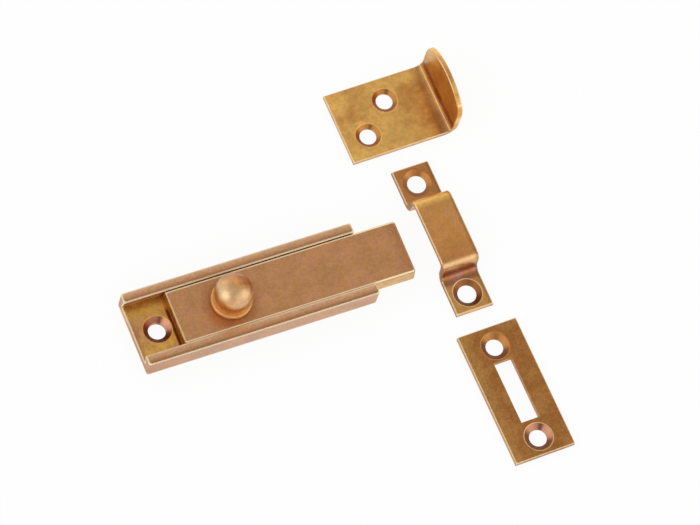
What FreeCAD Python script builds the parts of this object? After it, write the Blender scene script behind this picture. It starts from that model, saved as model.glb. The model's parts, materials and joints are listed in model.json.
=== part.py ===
import FreeCAD, Part
import math
import os
import re

import Sketcher

# Flat brass slide bolt with three loose keeps, in millimetres.
# The origin is the middle of the channel's back. +X is the way the bolt is thrown, +Z is up off the door.

# Driving sizes, one cell each in the sheet.
SIZES = {
    # Channel: an extruded brass strip with two undercut rails
    "channel_length": 76.2,
    "channel_width": 24.8,
    "channel_height": 7.4,
    "floor_thickness": 3.0,
    "channel_mouth": 18.0,
    "dovetail_angle": 12.0,
    "channel_corner_round": 0.7,
    "rail_edge_bevel": 0.25,
    "mouth_edge_round": 0.2,
    # Bolt: a dovetail bar that runs between the rails
    "bolt_length": 76.5,
    "bolt_thickness": 3.7,
    "bolt_lift": 0.1,
    "flank_gap": 0.2,
    "bolt_edge_round": 0.8,
    "head_corner_round": 1.0,
    "bolt_tail_round": 0.25,
    "bolt_throw": 13.3,
    "bolt_travel": 26.0,
    # Knob: a turned ball on a collar, riveted through the bolt
    "knob_from_tail": 18.4,
    "ball_width": 12.1,
    "collar_width": 13.0,
    "collar_thickness": 1.5,
    "collar_bevel": 0.6,
    "neck_width": 9.0,
    "neck_height": 0.35,
    "shank_width": 4.0,
    "rivet_width": 6.4,
    "rivet_angle": 90.0,
    # Stop pin in the channel's floor and the groove that it runs in
    "pin_width": 3.0,
    "pin_from_tail": 42.0,
    "pin_side": 5.2,
    "pin_head_width": 4.2,
    "pin_gap": 0.2,
    "pin_point": 0.3,
    "groove_depth": 1.8,
    # Friction spring: a bowed strip in a pocket under the bolt
    "spring_length": 26.0,
    "spring_width": 7.0,
    "spring_strip": 0.4,
    "spring_from_tail": 39.0,
    "spring_side": -2.4,
    "spring_gap": 0.04,
    "pocket_depth": 1.2,
    "pocket_gap": 0.35,
    # Screw holes of the channel
    "screw_hole": 5.6,
    "screw_sink": 9.2,
    "sink_angle": 100.0,
    "screw_inset": 7.8,
    "screw_side": -0.4,
    # Screw holes of the keeps
    "keep_sink_angle": 110.0,
    # Angle keep: a plate with one end turned up
    "angle_length": 35.3,
    "angle_width": 24.4,
    "angle_plate": 1.6,
    "angle_bend": 2.6,
    "lip_height": 19.15,
    "lip_crown": 17.0,
    "lip_corner": 6.0,
    "angle_hole": 5.4,
    "angle_sink": 8.4,
    "inner_hole_along": 17.8,
    "inner_hole_across": 16.8,
    "outer_hole_along": 8.1,
    "outer_hole_across": 7.3,
    # Staple keep: a strap bent up over the bolt
    "staple_length": 51.4,
    "staple_width": 12.4,
    "staple_plate": 1.6,
    "staple_foot": 13.4,
    "staple_headroom": 0.5,
    "leg_lean": 0.5,
    "staple_foot_bend": 2.0,
    "staple_top_bend": 3.0,
    "staple_hole": 6.0,
    "staple_sink": 9.5,
    "staple_inset": 6.0,
    "strap_bevel": 0.35,
    # Strike keep: a flat plate with a slot
    "strike_length": 44.4,
    "strike_width": 20.0,
    "strike_plate": 1.8,
    "slot_length": 20.8,
    "slot_width": 6.1,
    "slot_side": 0.15,
    "strike_hole": 5.6,
    "strike_sink": 9.3,
    "strike_far_inset": 6.5,
    "strike_near_inset": 5.9,
    "strike_near_side": 0.25,
    # Edge break on the keeps' upper edges
    "edge_break": 0.2,
    # Where the loose keeps lie beside the bolt, by their near left corner
    "angle_place_along": 48.8,
    "angle_place_across": 33.0,
    "angle_turn": 1.15,
    "staple_place_along": 59.75,
    "staple_place_across": -24.95,
    "staple_turn": 1.0,
    "strike_place_along": 58.1,
    "strike_place_across": -76.3,
    "strike_turn": 1.6,
}

# Sizes that follow from the driving ones.
FOLLOWING = {
    "flank_slope": "tan(dovetail_angle)",
    "floor_flare": "(channel_height - floor_thickness) * flank_slope",
    "bolt_base": "floor_thickness + bolt_lift",
    "bolt_top": "bolt_base + bolt_thickness",
    "bolt_foot_half": "channel_mouth / 2 + (channel_height - bolt_base) * flank_slope - flank_gap",
    "bolt_crown_half": "channel_mouth / 2 + (channel_height - bolt_top) * flank_slope - flank_gap",
    "bolt_tail": "bolt_throw - channel_length / 2",
    "rivet_depth": "(rivet_width - shank_width) / 2 / tan(rivet_angle / 2)",
    "ball_seat": "collar_thickness + neck_height",
    "ball_rise": "ball_seat + sqrt(ball_width ^ 2 - neck_width ^ 2) / 2",
    "pin_rest": "pin_from_tail - bolt_throw",
    "pin_head_depth": "(pin_head_width - pin_width) / 2",
    "pin_height": "bolt_base + groove_depth - pin_gap",
    "groove_half": "pin_width / 2 + pin_gap",
    "spring_arch": "pocket_depth + bolt_lift - spring_gap",
    "spring_bow": "spring_arch - spring_strip",
    "spring_inner_radius": "(spring_length ^ 2 / 4 + spring_bow ^ 2) / (2 * spring_bow)",
    "spring_outer_radius": "spring_inner_radius + spring_strip",
    "spring_edge_rise": "spring_outer_radius - sqrt(spring_outer_radius ^ 2 - spring_length ^ 2 / 4)",
    "lip_side": "lip_height - lip_crown + sqrt(lip_crown ^ 2 - angle_width ^ 2 / 4)",
    "staple_ankle": "staple_foot - leg_lean",
    "staple_clear": "bolt_top + staple_headroom",
    "staple_height": "staple_clear + staple_plate",
}

NEAR = 1e-4

doc = FreeCAD.newDocument("slide_bolt")
sheet = doc.addObject("Spreadsheet::Sheet", "sizes")
for row, (name, size) in enumerate(SIZES.items(), start=1):
    sheet.set(f"A{row}", name)
    sheet.set(f"B{row}", str(size))
    sheet.setAlias(f"B{row}", name)
doc.recompute()


def spread(text):
    """Write a formula out until it names driving sizes only."""
    def swap(found):
        word = found.group()
        return f"({spread(FOLLOWING[word])})" if word in FOLLOWING else word
    return re.sub(r"[a-z_]+", swap, text)


def bound(text):
    """The formula as an expression that reads the sheet's cells."""
    def swap(found):
        word = found.group()
        return f"sizes.{word}" if word in SIZES else word
    return re.sub(r"[a-z_]+", swap, spread(text))


def value(text):
    return float(sheet.evalExpression(spread(text)))


def new_body(name, along="0", across="0", up="0", turn="0"):
    """A sub-part whose own frame is placed by formulas."""
    body = doc.addObject("PartDesign::Body", name)
    body.Label = name
    body.Placement = FreeCAD.Placement(FreeCAD.Vector(), FreeCAD.Rotation(FreeCAD.Vector(0, 0, 1), 0))
    body.setExpression(".Placement.Base.x", bound(along))
    body.setExpression(".Placement.Base.y", bound(across))
    body.setExpression(".Placement.Base.z", bound(up))
    if turn != "0":
        body.setExpression(".Placement.Rotation.Angle", bound(turn))
    return body


def sketch_on(body, name, role, offset="0"):
    """A sketch on one of the body's own origin planes, moved along the plane's normal."""
    plane = next(feature for feature in body.Origin.OriginFeatures if feature.Role == role)
    sketch = body.newObject("Sketcher::SketchObject", name)
    sketch.AttachmentSupport = [(plane, "")]
    sketch.MapMode = "FlatFace"
    if offset != "0":
        sketch.setExpression(".AttachmentOffset.Base.z", bound(offset))
    return sketch


def bind_last(sketch, text):
    sketch.setExpression(f"Constraints[{sketch.ConstraintCount - 1}]", bound(text))


def pin_point(sketch, piece, end, across, up):
    """Tie a point of the sketch to two formulas measured from the sketch's origin."""
    for kind, axis, text in (("DistanceX", -2, across), ("DistanceY", -1, up)):
        if text == "0":
            sketch.addConstraint(Sketcher.Constraint("PointOnObject", piece, end, axis))
        else:
            sketch.addConstraint(Sketcher.Constraint(kind, -1, 1, piece, end, value(text)))
            bind_last(sketch, text)


def arc_through(start, end, radius):
    """The short arc from start to end, turning left for a positive radius and right for a negative one."""
    chord = end - start
    left = FreeCAD.Vector(-chord.y, chord.x, 0).normalize()
    reach = math.sqrt(radius ** 2 - (chord.Length / 2) ** 2)
    centre = (start + end) * 0.5 + left * math.copysign(reach, radius)
    first, last = (start, end) if radius > 0 else (end, start)
    begin = math.atan2(first.y - centre.y, first.x - centre.x)
    finish = math.atan2(last.y - centre.y, last.x - centre.x)
    circle = Part.Circle(centre, FreeCAD.Vector(0, 0, 1), abs(radius))
    return Part.ArcOfCircle(circle, begin, finish if finish > begin else finish + 2 * math.pi)


def outline(sketch, corners, arcs=None):
    """Close lines through the corners; arcs maps a side's number to its turn, +1 or -1, and radius."""
    arcs = arcs or {}
    points = [FreeCAD.Vector(value(across), value(up), 0) for across, up in corners]
    sides = []
    for number, start in enumerate(points):
        end = points[(number + 1) % len(points)]
        if number in arcs:
            turn, radius = arcs[number]
            piece = sketch.addGeometry(arc_through(start, end, turn * value(radius)))
            sides.append((piece, 1, 2) if turn > 0 else (piece, 2, 1))
        else:
            sides.append((sketch.addGeometry(Part.LineSegment(start, end)), 1, 2))
    for number, (piece, first, last) in enumerate(sides):
        follower, follower_first, _ = sides[(number + 1) % len(sides)]
        sketch.addConstraint(Sketcher.Constraint("Coincident", piece, last, follower, follower_first))
    for (piece, first, _), (across, up) in zip(sides, corners):
        pin_point(sketch, piece, first, across, up)
    for number, (_, radius) in arcs.items():
        sketch.addConstraint(Sketcher.Constraint("Radius", sides[number][0], value(radius)))
        bind_last(sketch, radius)


def rectangle(sketch, low_across, low_up, high_across, high_up):
    outline(sketch, [
        (low_across, low_up),
        (high_across, low_up),
        (high_across, high_up),
        (low_across, high_up),
    ])


def circles(sketch, centres, width):
    for across, up in centres:
        centre = FreeCAD.Vector(value(across), value(up), 0)
        piece = sketch.addGeometry(Part.Circle(centre, FreeCAD.Vector(0, 0, 1), value(width) / 2))
        pin_point(sketch, piece, 3, across, up)
        sketch.addConstraint(Sketcher.Constraint("Diameter", piece, value(width)))
        bind_last(sketch, width)


def settle(feature):
    """Work the feature out and refuse it if it fails."""
    doc.recompute()
    if "Invalid" in feature.State or feature.Shape.isNull():
        raise RuntimeError(f"{feature.Name} fails")


def pad(body, name, sketch, length, middle=False):
    feature = body.newObject("PartDesign::Pad", name)
    feature.Profile = sketch
    feature.setExpression("Length", bound(length))
    if middle:
        feature.SideType = "Symmetric"
    settle(feature)


def cut_deeper(body, feature, before):
    """Make sure that a cutting feature took material away."""
    settle(feature)
    if not feature.Shape.Volume < before - NEAR:
        raise RuntimeError(f"{feature.Name} cuts nothing from {body.Label}")


def pocket(body, name, sketch, depth=None, upward=False):
    before = body.Shape.Volume
    feature = body.newObject("PartDesign::Pocket", name)
    feature.Profile = sketch
    if depth:
        feature.setExpression("Length", bound(depth))
    else:
        feature.Type = "ThroughAll"
    feature.Reversed = upward
    cut_deeper(body, feature, before)


def sunk_holes(body, name, sketch, width, sink, angle, upward=False):
    """Through holes with a conical sink on the sketch's side."""
    before = body.Shape.Volume
    feature = body.newObject("PartDesign::Hole", name)
    feature.Profile = sketch
    doc.recompute()
    feature.ThreadType = "None"
    feature.DepthType = "ThroughAll"
    feature.HoleCutType = "Countersink"
    feature.HoleCutCustomValues = True
    feature.setExpression("Diameter", bound(width))
    feature.setExpression("HoleCutDiameter", bound(sink))
    feature.setExpression("HoleCutCountersinkAngle", bound(angle))
    feature.Reversed = upward
    cut_deeper(body, feature, before)


def dress_edges(body, kind, name, cell, size, chosen):
    """Dress the edges of the body's tip that the test chooses."""
    base = body.Tip
    names = [f"Edge{number}" for number, edge in enumerate(base.Shape.Edges, start=1) if chosen(edge)]
    if not names:
        raise RuntimeError(f"{name} finds no edge on {body.Label}")
    feature = body.newObject(kind, name)
    feature.Base = (base, names)
    feature.setExpression(cell, bound(size))
    settle(feature)


def round_edges(body, name, radius, chosen):
    dress_edges(body, "PartDesign::Fillet", name, "Radius", radius, chosen)


def bevel_edges(body, name, size, chosen):
    dress_edges(body, "PartDesign::Chamfer", name, "Size", size, chosen)


def runs_along(edge, axis):
    """Whether the edge is a straight one along the axis, 0 for X, 1 for Y and 2 for Z."""
    start, end = edge.firstVertex().Point, edge.lastVertex().Point
    others = [number for number in range(3) if number != axis]
    return isinstance(edge.Curve, Part.Line) and all(abs(start[n] - end[n]) < NEAR for n in others)


def lies_at(edge, **places):
    """Whether the edge's middle has the given places, such as x=..., y=..., z=..."""
    middle = edge.valueAt((edge.FirstParameter + edge.LastParameter) / 2)
    return all(abs(getattr(middle, name) - place) < NEAR for name, place in places.items())


def middle_of(face):
    """The point and the normal at the middle of a face's parameters."""
    low_u, high_u, low_v, high_v = face.ParameterRange
    middle = (low_u + high_u) / 2, (low_v + high_v) / 2
    return face.valueAt(*middle), face.normalAt(*middle)


def is_hole_wall(face):
    """Whether the face is a cylinder or a cone that stands upright."""
    return not isinstance(face.Surface, Part.Plane) and abs(face.Surface.Axis.z) > 1 - NEAR


def rim_of(shape, belongs):
    """The edges round a patch of faces, without the edges of holes in it."""
    patch = [face for face in shape.Faces if belongs(face)]
    seen = {}
    for face in patch:
        for edge in face.OuterWire.Edges:
            seen.setdefault(edge.hashCode(), []).append(edge)
    return [edges[0] for edges in seen.values() if len(edges) == 1]


def same_edge(edge, others):
    return any(edge.isSame(other) for other in others)


# Channel

def make_channel():
    body = new_body("channel")
    profile = sketch_on(body, "channel_profile", "YZ_Plane")
    outline(profile, [
        ("-channel_width / 2", "0"),
        ("channel_width / 2", "0"),
        ("channel_width / 2", "channel_height"),
        ("channel_mouth / 2", "channel_height"),
        ("channel_mouth / 2 + floor_flare", "floor_thickness"),
        ("-channel_mouth / 2 - floor_flare", "floor_thickness"),
        ("-channel_mouth / 2", "channel_height"),
        ("-channel_width / 2", "channel_height"),
    ])
    pad(body, "channel_strip", profile, "channel_length", middle=True)
    top = value("channel_height")
    side = value("channel_width / 2")
    mouth = value("channel_mouth / 2")
    round_edges(body, "channel_corners", "channel_corner_round",
                lambda edge: runs_along(edge, 2) and (lies_at(edge, y=side) or lies_at(edge, y=-side)))
    bevel_edges(body, "rail_edges", "rail_edge_bevel",
                lambda edge: runs_along(edge, 0) and (lies_at(edge, y=side, z=top) or lies_at(edge, y=-side, z=top)))
    round_edges(body, "mouth_edges", "mouth_edge_round",
                lambda edge: runs_along(edge, 0) and (lies_at(edge, y=mouth, z=top) or lies_at(edge, y=-mouth, z=top)))
    screws = sketch_on(body, "channel_screw_centres", "XY_Plane", "floor_thickness")
    circles(screws, [
        ("screw_inset - channel_length / 2", "screw_side"),
        ("channel_length / 2 - screw_inset", "screw_side"),
    ], "screw_hole")
    sunk_holes(body, "channel_screw_holes", screws, "screw_hole", "screw_sink", "sink_angle")
    rivet = sketch_on(body, "stop_pin_centre", "XY_Plane")
    circles(rivet, [("pin_from_tail - channel_length / 2", "pin_side")], "pin_width")
    sunk_holes(body, "stop_pin_hole", rivet, "pin_width", "pin_head_width", "rivet_angle", upward=True)
    return body


def make_stop_pin():
    """A pin riveted into the floor from the back, standing up into the bolt's groove."""
    body = new_body("stop_pin", "pin_from_tail - channel_length / 2", "pin_side")
    profile = sketch_on(body, "stop_pin_profile", "XZ_Plane")
    outline(profile, [
        ("0", "0"),
        ("pin_head_width / 2", "0"),
        ("pin_width / 2", "pin_head_depth"),
        ("pin_width / 2", "pin_height - pin_point"),
        ("pin_width / 2 - pin_point", "pin_height"),
        ("0", "pin_height"),
    ])
    turn_round(body, "stop_pin_turning", profile)
    return body


def turn_round(body, name, sketch):
    """Turn the profile once round the sketch's upright axis."""
    feature = body.newObject("PartDesign::Revolution", name)
    feature.Profile = sketch
    feature.ReferenceAxis = (sketch, ["V_Axis"])
    feature.Angle = 360
    settle(feature)


# Bolt

def make_bolt():
    body = new_body("bolt_bar", "bolt_tail", "0", "bolt_base")
    profile = sketch_on(body, "bolt_profile", "YZ_Plane")
    outline(profile, [
        ("-bolt_foot_half", "0"),
        ("bolt_foot_half", "0"),
        ("bolt_crown_half", "bolt_thickness"),
        ("-bolt_crown_half", "bolt_thickness"),
    ])
    pad(body, "bolt_strip", profile, "bolt_length")
    pocket_sketch = sketch_on(body, "spring_pocket_outline", "XY_Plane")
    rectangle(pocket_sketch,
              "spring_from_tail - spring_length / 2 - pocket_gap", "spring_side - spring_width / 2 - pocket_gap",
              "spring_from_tail + spring_length / 2 + pocket_gap", "spring_side + spring_width / 2 + pocket_gap")
    pocket(body, "spring_pocket", pocket_sketch, "pocket_depth", upward=True)
    groove = sketch_on(body, "stop_groove_outline", "XY_Plane")
    outline(groove, [
        ("pin_rest", "pin_side - groove_half"),
        ("pin_rest + bolt_travel", "pin_side - groove_half"),
        ("pin_rest + bolt_travel + groove_half", "pin_side"),
        ("pin_rest + bolt_travel", "pin_side + groove_half"),
        ("pin_rest", "pin_side + groove_half"),
        ("pin_rest - groove_half", "pin_side"),
    ], {1: (1, "groove_half"), 2: (1, "groove_half"), 4: (1, "groove_half"), 5: (1, "groove_half")})
    pocket(body, "stop_groove", groove, "groove_depth", upward=True)
    knob_centre = sketch_on(body, "knob_centre", "XY_Plane")
    circles(knob_centre, [("knob_from_tail", "0")], "shank_width")
    sunk_holes(body, "knob_hole", knob_centre, "shank_width", "rivet_width", "rivet_angle", upward=True)
    head = value("bolt_length")
    top = value("bolt_thickness")
    round_edges(body, "bolt_head_corners", "head_corner_round", lambda edge: lies_at(edge, x=head, z=top / 2))
    round_edges(body, "bolt_top_edges", "bolt_edge_round",
                lambda edge: runs_along(edge, 0) and lies_at(edge, z=top) and edge.Length > head / 2)
    round_edges(body, "bolt_tail_edges", "bolt_tail_round",
                lambda edge: lies_at(edge, x=0) and not lies_at(edge, z=0))
    return body


def make_knob():
    """A ball on a collar; its shank goes through the bolt and is spread into the sink under it."""
    body = new_body("knob", "bolt_tail + knob_from_tail", "0", "bolt_top")
    profile = sketch_on(body, "knob_profile", "XZ_Plane")
    outline(profile, [
        ("0", "-bolt_thickness"),
        ("rivet_width / 2", "-bolt_thickness"),
        ("shank_width / 2", "rivet_depth - bolt_thickness"),
        ("shank_width / 2", "0"),
        ("collar_width / 2", "0"),
        ("collar_width / 2", "collar_thickness - collar_bevel"),
        ("collar_width / 2 - collar_bevel", "collar_thickness"),
        ("neck_width / 2", "collar_thickness"),
        ("neck_width / 2", "ball_seat"),
        ("0", "ball_rise + ball_width / 2"),
    ], {8: (1, "ball_width / 2")})
    turn_round(body, "knob_turning", profile)
    return body


def make_friction_spring():
    """A bowed strip: its ends bear on the pocket's roof and its belly rides on the channel's floor."""
    body = new_body("friction_spring", "bolt_tail + spring_from_tail", "spring_side",
                    "floor_thickness + spring_gap")
    profile = sketch_on(body, "spring_profile", "XZ_Plane")
    outline(profile, [
        ("-spring_length / 2", "spring_edge_rise"),
        ("spring_length / 2", "spring_edge_rise"),
        ("spring_length / 2", "spring_arch"),
        ("-spring_length / 2", "spring_arch"),
    ], {0: (1, "spring_outer_radius"), 2: (-1, "spring_inner_radius")})
    pad(body, "spring_leaf", profile, "spring_width", middle=True)
    return body


# Keeps

def dress_rim(body, dress, name, size, belongs):
    """Round or bevel the edges round the upper skin of a plate."""
    rim = rim_of(body.Tip.Shape, belongs)
    dress(body, name, size, lambda edge: same_edge(edge, rim))


def make_angle_keep():
    body = new_body("angle_keep", "angle_place_along", "angle_place_across", "0", "angle_turn")
    plate = sketch_on(body, "angle_plate_outline", "XY_Plane")
    rectangle(plate, "0", "0", "angle_length", "angle_width")
    pad(body, "angle_plate_pad", plate, "angle_plate")
    lip = sketch_on(body, "lip_outline", "YZ_Plane", "angle_length - angle_plate")
    outline(lip, [
        ("0", "0"),
        ("angle_width", "0"),
        ("angle_width", "lip_side"),
        ("0", "lip_side"),
    ], {2: (1, "lip_crown")})
    pad(body, "lip_pad", lip, "angle_plate")
    width = value("angle_width")
    plate_top = value("angle_plate")
    inside = value("angle_length - angle_plate")
    outside = value("angle_length")
    side = value("lip_side")
    round_edges(body, "lip_corners", "lip_corner",
                lambda edge: runs_along(edge, 0) and (lies_at(edge, y=0, z=side) or lies_at(edge, y=width, z=side)))
    round_edges(body, "angle_inner_bend", "angle_bend",
                lambda edge: runs_along(edge, 1) and lies_at(edge, x=inside, z=plate_top))
    round_edges(body, "angle_outer_bend", "angle_bend + angle_plate",
                lambda edge: runs_along(edge, 1) and lies_at(edge, x=outside, z=0))
    screws = sketch_on(body, "angle_screw_centres", "XY_Plane", "angle_plate")
    circles(screws, [
        ("inner_hole_along", "inner_hole_across"),
        ("outer_hole_along", "outer_hole_across"),
    ], "angle_hole")
    sunk_holes(body, "angle_screw_holes", screws, "angle_hole", "angle_sink", "keep_sink_angle")
    bend_middle = FreeCAD.Vector(value("angle_length - angle_plate - angle_bend"), 0,
                                 value("angle_plate + angle_bend"))

    def on_upper_skin(face):
        middle = face.CenterOfMass
        if isinstance(face.Surface, Part.Plane):
            return abs(middle.z - plate_top) < NEAR or abs(middle.x - inside) < NEAR
        radius = getattr(face.Surface, "Radius", 0)
        at_bend = abs(getattr(face.Surface, "Center", FreeCAD.Vector()).x - bend_middle.x) < NEAR
        return at_bend and abs(radius - value("angle_bend")) < NEAR

    dress_rim(body, bevel_edges, "angle_edges", "edge_break", on_upper_skin)
    return body


def make_staple_keep():
    body = new_body("staple_keep", "staple_place_along", "staple_place_across", "0", "staple_turn")
    profile = sketch_on(body, "staple_profile", "YZ_Plane")
    outline(profile, [
        ("0", "0"),
        ("staple_ankle + staple_plate", "0"),
        ("staple_foot + staple_plate", "staple_clear"),
        ("staple_length - staple_foot - staple_plate", "staple_clear"),
        ("staple_length - staple_ankle - staple_plate", "0"),
        ("staple_length", "0"),
        ("staple_length", "staple_plate"),
        ("staple_length - staple_ankle", "staple_plate"),
        ("staple_length - staple_foot", "staple_height"),
        ("staple_foot", "staple_height"),
        ("staple_ankle", "staple_plate"),
        ("0", "staple_plate"),
    ])
    pad(body, "staple_strap", profile, "staple_width")
    length = value("staple_length")
    foot = value("staple_foot")
    ankle = value("staple_ankle")
    plate = value("staple_plate")

    def bend(name, radius, depth, height):
        """Round both folds of the strap at this depth from its ends and this height."""
        round_edges(body, name, radius,
                    lambda edge: runs_along(edge, 0) and
                    (lies_at(edge, y=depth, z=height) or lies_at(edge, y=length - depth, z=height)))

    bend("foot_inner_bends", "staple_foot_bend", ankle, plate)
    bend("foot_outer_bends", "staple_foot_bend + staple_plate", ankle + plate, 0)
    bend("top_outer_bends", "staple_top_bend", foot, value("staple_height"))
    bend("top_inner_bends", "staple_top_bend - staple_plate", foot + plate, value("staple_clear"))
    screws = sketch_on(body, "staple_screw_centres", "XY_Plane", "staple_plate")
    circles(screws, [
        ("staple_width / 2", "staple_inset"),
        ("staple_width / 2", "staple_length - staple_inset"),
    ], "staple_hole")
    sunk_holes(body, "staple_screw_holes", screws, "staple_hole", "staple_sink", "keep_sink_angle")

    def on_outer_skin(face):
        """The skin that looks up or away from the bridge, without the holes and the strap's cut ends."""
        if is_hole_wall(face):
            return False
        point, normal = middle_of(face)
        looks_out = normal.y * (point.y - length / 2) > NEAR
        at_cut_end = abs(abs(point.y - length / 2) - length / 2) < NEAR
        return normal.z > NEAR or (looks_out and abs(normal.z) < NEAR and not at_cut_end)

    dress_rim(body, bevel_edges, "strap_edges", "strap_bevel", on_outer_skin)
    return body


def make_strike_keep():
    body = new_body("strike_keep", "strike_place_along", "strike_place_across", "0", "strike_turn")
    plate = sketch_on(body, "strike_outline", "XY_Plane")
    rectangle(plate, "0", "0", "strike_width", "strike_length")
    pad(body, "strike_pad", plate, "strike_plate")
    slot = sketch_on(body, "strike_slot_outline", "XY_Plane")
    rectangle(slot,
              "(strike_width - slot_width) / 2 + slot_side", "(strike_length - slot_length) / 2",
              "(strike_width + slot_width) / 2 + slot_side", "(strike_length + slot_length) / 2")
    pocket(body, "strike_slot", slot, upward=True)
    screws = sketch_on(body, "strike_screw_centres", "XY_Plane", "strike_plate")
    circles(screws, [
        ("strike_width / 2 + strike_near_side", "strike_near_inset"),
        ("strike_width / 2", "strike_length - strike_far_inset"),
    ], "strike_hole")
    sunk_holes(body, "strike_screw_holes", screws, "strike_hole", "strike_sink", "keep_sink_angle")
    plate_top = value("strike_plate")
    dress_rim(body, bevel_edges, "strike_edges", "edge_break",
              lambda face: isinstance(face.Surface, Part.Plane) and abs(face.CenterOfMass.z - plate_top) < NEAR)
    return body


def check_and_write(bodies):
    """Refuse a failed feature or a bad solid, then write one file for each sub-part."""
    doc.recompute()
    for item in doc.Objects:
        if "Invalid" in item.State or "Error" in item.State:
            raise RuntimeError(f"{item.Name} failed: {item.State}")
    os.makedirs("parts", exist_ok=True)
    for body in bodies:
        shape = body.Shape
        if shape.isNull() or not shape.isValid() or len(shape.Solids) != 1:
            raise RuntimeError(f"{body.Label} is not one valid solid")
        shape.exportStep(f"parts/{body.Label}.step")
        print(f"{body.Label}: {shape.Volume:.1f} mm3")


check_and_write([
    make_channel(),
    make_stop_pin(),
    make_bolt(),
    make_knob(),
    make_friction_spring(),
    make_angle_keep(),
    make_staple_keep(),
    make_strike_keep(),
])
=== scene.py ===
import json
import math

import bmesh
import bpy
from bpy.props import FloatProperty, FloatVectorProperty, IntProperty, PointerProperty
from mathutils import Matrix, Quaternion, Vector


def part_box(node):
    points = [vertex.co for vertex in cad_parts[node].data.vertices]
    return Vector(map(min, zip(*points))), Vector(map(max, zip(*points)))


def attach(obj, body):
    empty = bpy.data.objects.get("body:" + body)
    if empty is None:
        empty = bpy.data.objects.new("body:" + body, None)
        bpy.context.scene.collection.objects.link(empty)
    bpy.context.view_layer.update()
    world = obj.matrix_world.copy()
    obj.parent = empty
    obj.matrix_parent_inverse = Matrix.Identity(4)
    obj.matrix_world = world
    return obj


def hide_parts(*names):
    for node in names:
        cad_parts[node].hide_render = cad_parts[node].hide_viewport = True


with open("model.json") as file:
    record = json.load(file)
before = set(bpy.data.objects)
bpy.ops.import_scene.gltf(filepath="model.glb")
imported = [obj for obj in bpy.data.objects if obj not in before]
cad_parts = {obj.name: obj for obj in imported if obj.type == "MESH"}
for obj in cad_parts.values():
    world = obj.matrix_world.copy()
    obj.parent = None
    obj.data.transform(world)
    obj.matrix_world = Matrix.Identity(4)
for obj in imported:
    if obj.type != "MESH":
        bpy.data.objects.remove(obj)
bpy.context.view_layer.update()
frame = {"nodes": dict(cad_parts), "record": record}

# Looks of a flat brass slide bolt with its knob and three keeps, in metres.

bl_info = {
    "name": "Brass Slide Bolt",
    "version": (1, 0, 0),
    "blender": (4, 5, 0),
    "location": "View3D > Sidebar > Slide Bolt",
    "description": "Aged brass finishes, a turned knob and a studio for a slide bolt and its keeps",
    "category": "Object",
}

MM = 0.001
CHANNEL_LOW, CHANNEL_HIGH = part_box("channel")
BOLT_LOW, BOLT_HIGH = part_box("bolt_bar")
KNOB_LOW, KNOB_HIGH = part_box("knob")
RAIL_TOP = CHANNEL_HIGH.z
BOLT_TOP = BOLT_HIGH.z
MOUNTS = {mount["name"]: Vector(mount["pos_m"]) for mount in frame["record"]["mounts"]}

FLOOR_TOP = 3 * MM
FLOOR_HALF_WIDTH = 9.9 * MM
RAIL_MIDDLE = 10.7 * MM
HALF_RAIL = 1.7 * MM
RAIL_CROWN = 0.2 * MM
STAPLE_WIDTH = 12.4 * MM
SINK_WIDTHS = {"tail": 9.2 * MM, "head": 9.2 * MM, "angle": 8.4 * MM, "staple": 9.5 * MM, "strike": 9.3 * MM}

# The near left corner of each keep, and how far the keep is turned.
ANGLE_LIE = (48.8 * MM, 33 * MM), math.radians(1.15)
STAPLE_LIE = (59.75 * MM, -24.95 * MM), math.radians(1.0)
STRIKE_LIE = (58.1 * MM, -76.3 * MM), math.radians(1.6)

# The angle keep's fold starts here along its plate, and ends at this height.
FOLD_START = 31.1 * MM
FOLD_TOP = 4.2 * MM


def paint(red, green, blue):
    """A screen colour, 0 to 255 a channel, as the linear colour that shaders use."""
    def linear(level):
        share = level / 255
        return share / 12.92 if share <= 0.04045 else ((share + 0.055) / 1.055) ** 2.4
    return linear(red), linear(green), linear(blue)


def colour_setting(name, description, *levels):
    return FloatVectorProperty(name=name, description=description, subtype="COLOR", size=3,
                               min=0.0, max=1.0, default=paint(*levels))


def length_setting(name, description, millimetres):
    return FloatProperty(name=name, description=description, unit="LENGTH", min=0.0, precision=5,
                         default=millimetres * MM)


def share_setting(name, description, share):
    return FloatProperty(name=name, description=description, subtype="FACTOR", min=0.0, max=1.0,
                         default=share)


def number_setting(name, description, number, **settings):
    return FloatProperty(name=name, description=description, default=number, **settings)


def place_setting(name, description, *metres):
    return FloatVectorProperty(name=name, description=description, subtype="TRANSLATION", size=3,
                               default=metres)


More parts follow.
